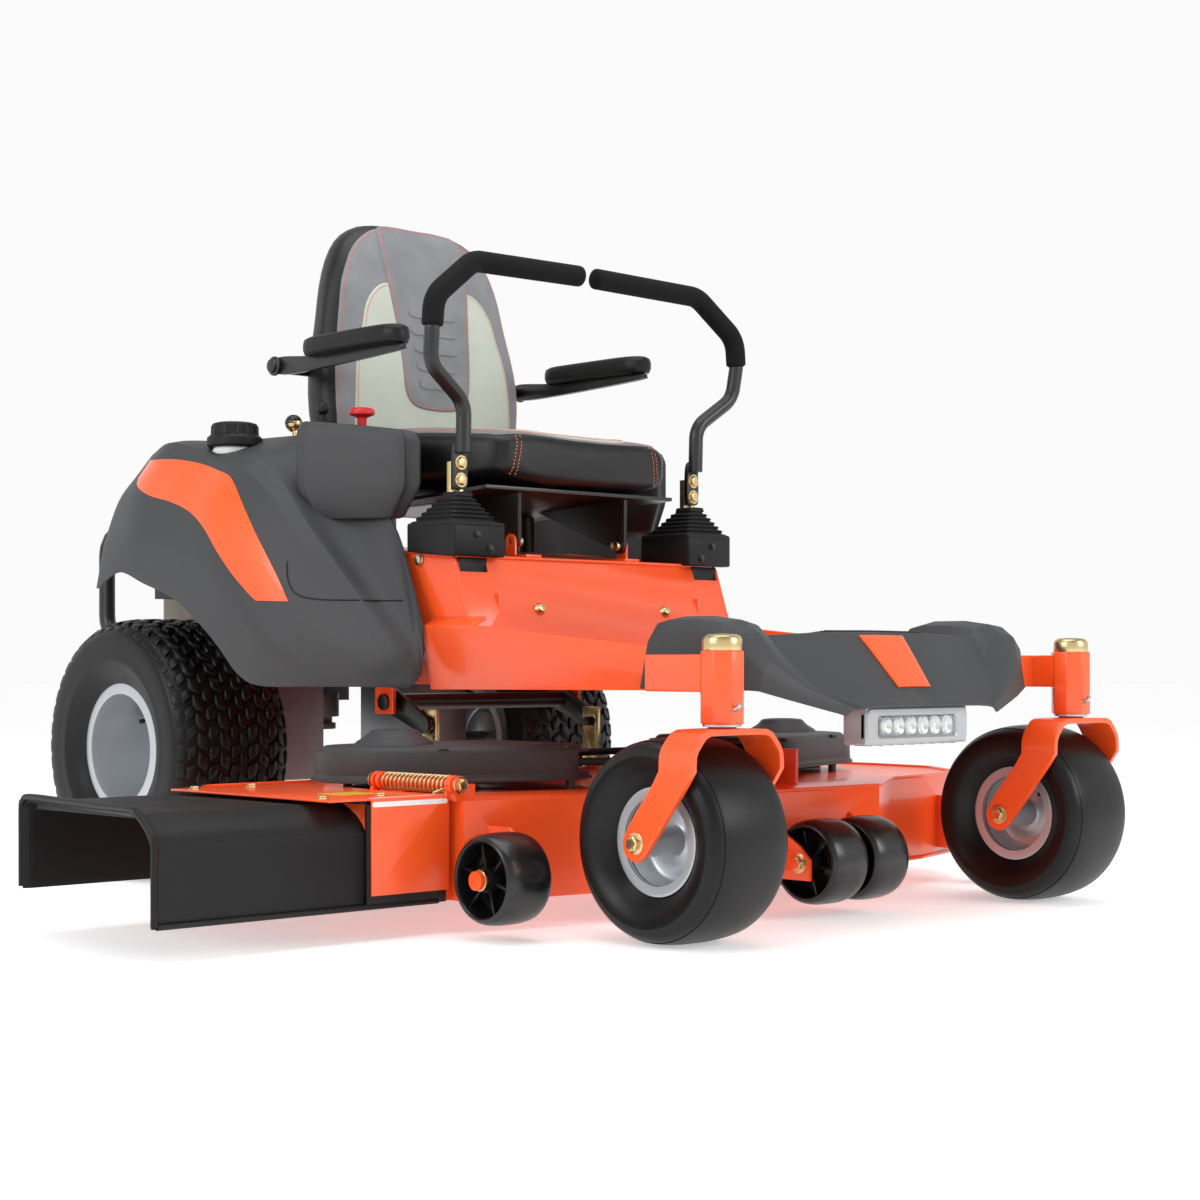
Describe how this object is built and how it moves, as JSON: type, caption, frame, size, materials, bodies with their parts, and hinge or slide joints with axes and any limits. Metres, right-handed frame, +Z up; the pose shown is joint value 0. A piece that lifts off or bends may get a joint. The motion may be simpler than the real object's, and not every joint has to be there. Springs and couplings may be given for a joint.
{
  "type": "zero turn mower",
  "caption": "Ride-on zero-turn lawn mower with a side-discharge cutting deck, twin lap bars, swivelling front casters and a high-back seat.",
  "frame": {"origin": "centre of the whole machine, chute and bumper included, on the ground", "axes": "+Z up, +Y towards the rear bumper, so the front casters are at -Y; the discharge chute, on the operator's right, is at -X"},
  "size_m": [1.745, 1.905, 1.1796],
  "materials": {
    "orange_paint": "gloss powder coat",
    "black_paint": "satin powder coat",
    "dark_plastic": "textured moulding",
    "black_plastic": "textured moulding",
    "zinc_steel": "yellow zinc plate",
    "bare_steel": "satin",
    "cast_metal": "cast",
    "silver_rim": "silver paint",
    "tyre_rubber": "moulded",
    "soft_rubber": "moulded",
    "foam_grip": "matt foam",
    "seat_vinyl": "grained vinyl",
    "tank_plastic": "translucent moulding",
    "red_plastic": "gloss",
    "lamp": "silver moulding"
  },
  "bodies": {
    "chassis": {"frame_rails": "orange_paint", "front_beam": "orange_paint", "caster_caps": "zinc_steel", "floor_pan": "orange_paint", "seat_box": "orange_paint", "engine_deck": "black_paint", "engine_guard": "black_paint", "foot_cover": "dark_plastic", "headlight": "lamp", "left_fender": "dark_plastic", "right_fender": "dark_plastic", "consoles": "dark_plastic", "fuel_tank": "tank_plastic", "boot_bases": "black_plastic", "engine": "cast_metal", "transaxles": "cast_metal", "battery": "black_plastic", "body_bolts": "zinc_steel", "left_boot": "soft_rubber", "right_boot": "soft_rubber"},
    "deck": {"deck_shell": "orange_paint", "belt_covers": "dark_plastic", "spindle_housings": "cast_metal", "deck_belt": "soft_rubber", "deck_links": "zinc_steel"},
    "seat": {"seat_pan": "black_paint", "seat_cushion": "seat_vinyl", "seat_back": "seat_vinyl"},
    "left_armrest": {"left_armrest": "black_plastic"},
    "right_armrest": {"right_armrest": "black_plastic"},
    "left_control": {"left_control_arm": "zinc_steel"},
    "right_control": {"right_control_arm": "zinc_steel"},
    "left_lap_bar": {"left_lap_bar": "black_paint", "left_grip": "foam_grip"},
    "right_lap_bar": {"right_lap_bar": "black_paint", "right_grip": "foam_grip"},
    "left_rear_wheel": {"left_rear_tyre": "tyre_rubber", "left_rear_rim": "silver_rim"},
    "right_rear_wheel": {"right_rear_tyre": "tyre_rubber", "right_rear_rim": "silver_rim"},
    "left_fork": {"left_fork": "orange_paint"},
    "right_fork": {"right_fork": "orange_paint"},
    "left_caster_wheel": {"left_caster_tyre": "tyre_rubber", "left_caster_rim": "silver_rim"},
    "right_caster_wheel": {"right_caster_tyre": "tyre_rubber", "right_caster_rim": "silver_rim"},
    "left_blade": {"left_blade": "bare_steel"},
    "centre_blade": {"centre_blade": "bare_steel"},
    "right_blade": {"right_blade": "bare_steel"},
    "chute": {"chute_deflector": "black_plastic", "chute_plate": "orange_paint"},
    "left_roller": {"left_roller": "black_plastic"},
    "right_roller": {"right_roller": "black_plastic"},
    "centre_rollers": {"centre_rollers": "black_plastic"},
    "lift_shaft": {"lift_shaft": "black_paint"},
    "height_lever": {"height_lever": "zinc_steel"},
    "clutch_pulley": {"clutch_pulley": "bare_steel"},
    "fuel_cap": {"fuel_cap": "dark_plastic"},
    "pto_knob": {"pto_knob": "red_plastic"},
    "throttle_lever": {"throttle_lever": "black_plastic"}
  },
  "joints": [
    {"name": "left_rear_wheel_spin", "type": "hinge", "parent": "chassis", "child": "left_rear_wheel", "pos_m": [0.5655, 0.4745, 0.2285], "axis": [1, 0, 0], "continuous": true},
    {"name": "left_caster_swivel", "type": "hinge", "parent": "chassis", "child": "left_fork", "pos_m": [0.5755, -0.8865, 0.3], "axis": [0, 0, 1], "continuous": true},
    {"name": "left_caster_spin", "type": "hinge", "parent": "left_fork", "child": "left_caster_wheel", "pos_m": [0.5755, -0.8125, 0.14], "axis": [1, 0, 0], "continuous": true},
    {"name": "left_steering", "type": "hinge", "parent": "chassis", "child": "left_control", "pos_m": [0.4405, -0.1735, 0.47], "axis": [1, 0, 0], "range_deg": [-6, 17], "deforming": ["left_boot"]},
    {"name": "left_bar_swing", "type": "hinge", "parent": "left_control", "child": "left_lap_bar", "pos_m": [0.4405, -0.1735, 0.672], "axis": [0, 1, 0], "range_deg": [0, 35]},
    {"name": "left_armrest_fold", "type": "hinge", "parent": "seat", "child": "left_armrest", "pos_m": [0.4515, 0.2945, 0.899], "axis": [-1, 0, 0], "range_deg": [0, 85]},
    {"name": "right_rear_wheel_spin", "type": "hinge", "parent": "chassis", "child": "right_rear_wheel", "pos_m": [-0.2205, 0.4745, 0.2285], "axis": [1, 0, 0], "continuous": true},
    {"name": "right_caster_swivel", "type": "hinge", "parent": "chassis", "child": "right_fork", "pos_m": [-0.2305, -0.8865, 0.3], "axis": [0, 0, 1], "continuous": true},
    {"name": "right_caster_spin", "type": "hinge", "parent": "right_fork", "child": "right_caster_wheel", "pos_m": [-0.2305, -0.8125, 0.14], "axis": [1, 0, 0], "continuous": true},
    {"name": "right_steering", "type": "hinge", "parent": "chassis", "child": "right_control", "pos_m": [-0.0955, -0.1735, 0.47], "axis": [1, 0, 0], "range_deg": [-6, 17], "deforming": ["right_boot"]},
    {"name": "right_bar_swing", "type": "hinge", "parent": "right_control", "child": "right_lap_bar", "pos_m": [-0.0955, -0.1735, 0.672], "axis": [0, -1, 0], "range_deg": [0, 35]},
    {"name": "right_armrest_fold", "type": "hinge", "parent": "seat", "child": "right_armrest", "pos_m": [-0.1065, 0.2945, 0.899], "axis": [-1, 0, 0], "range_deg": [0, 85]},
    {"name": "deck_lift", "type": "slide", "parent": "chassis", "child": "deck", "axis": [0, 0, 1], "range_m": [0, 0.076]},
    {"name": "lift_shaft_turn", "type": "hinge", "parent": "chassis", "child": "lift_shaft", "pos_m": [0.1725, 0.0745, 0.312], "axis": [-1, 0, 0], "range_deg": [0, 50.95]},
    {"name": "height_lever_turn", "type": "hinge", "parent": "chassis", "child": "height_lever", "pos_m": [-0.1105, 0.1645, 0.485], "axis": [-1, 0, 0], "range_deg": [0, 36]},
    {"name": "chute_tilt", "type": "hinge", "parent": "deck", "child": "chute", "pos_m": [-0.3875, -0.4255, 0.209], "axis": [0, 1, 0], "range_deg": [0, 80], "stiffness_Nm_per_rad": 2, "springref_deg": -17.19},
    {"name": "centre_blade_spin", "type": "hinge", "parent": "deck", "child": "centre_blade", "pos_m": [0.1725, -0.4405, 0.09], "axis": [0, 0, 1], "continuous": true},
    {"name": "left_blade_spin", "type": "hinge", "parent": "deck", "child": "left_blade", "pos_m": [0.6175, -0.2405, 0.09], "axis": [0, 0, 1], "continuous": true},
    {"name": "right_blade_spin", "type": "hinge", "parent": "deck", "child": "right_blade", "pos_m": [-0.2725, -0.2405, 0.09], "axis": [0, 0, 1], "continuous": true},
    {"name": "clutch_pulley_spin", "type": "hinge", "parent": "chassis", "child": "clutch_pulley", "pos_m": [0.1725, 0.6045, 0.3], "axis": [0, 0, 1], "continuous": true},
    {"name": "left_roller_spin", "type": "hinge", "parent": "deck", "child": "left_roller", "pos_m": [0.7345, -0.6255, 0.085], "axis": [1, 0, 0], "continuous": true},
    {"name": "right_roller_spin", "type": "hinge", "parent": "deck", "child": "right_roller", "pos_m": [-0.3895, -0.6255, 0.085], "axis": [1, 0, 0], "continuous": true},
    {"name": "centre_roller_spin", "type": "hinge", "parent": "deck", "child": "centre_rollers", "pos_m": [0.1725, -0.756, 0.085], "axis": [1, 0, 0], "continuous": true},
    {"name": "seat_tilt", "type": "hinge", "parent": "chassis", "child": "seat", "pos_m": [0.1725, -0.1512, 0.581], "axis": [1, 0, 0], "range_deg": [0, 12]},
    {"name": "fuel_cap_turn", "type": "hinge", "parent": "chassis", "child": "fuel_cap", "pos_m": [-0.1875, 0.3115, 0.76], "axis": [0, 0, 1], "range_deg": [0, 180]},
    {"name": "pto_pull", "type": "slide", "parent": "chassis", "child": "pto_knob", "axis": [0, 0, 1], "range_m": [0, 0.012]},
    {"name": "throttle_turn", "type": "hinge", "parent": "chassis", "child": "throttle_lever", "pos_m": [-0.1725, 0.0765, 0.74], "axis": [1, 0, 0], "range_deg": [-20, 20]}
  ],
  "couplings": [
    {"joint": "lift_shaft_turn", "follows": "deck_lift", "rad_per_m": 11.471},
    {"joint": "height_lever_turn", "follows": "deck_lift", "rad_per_m": 8.04},
    {"joint": "left_blade_spin", "follows": "centre_blade_spin", "ratio": 1},
    {"joint": "right_blade_spin", "follows": "centre_blade_spin", "ratio": 1},
    {"joint": "clutch_pulley_spin", "follows": "centre_blade_spin", "ratio": 1}
  ]
}
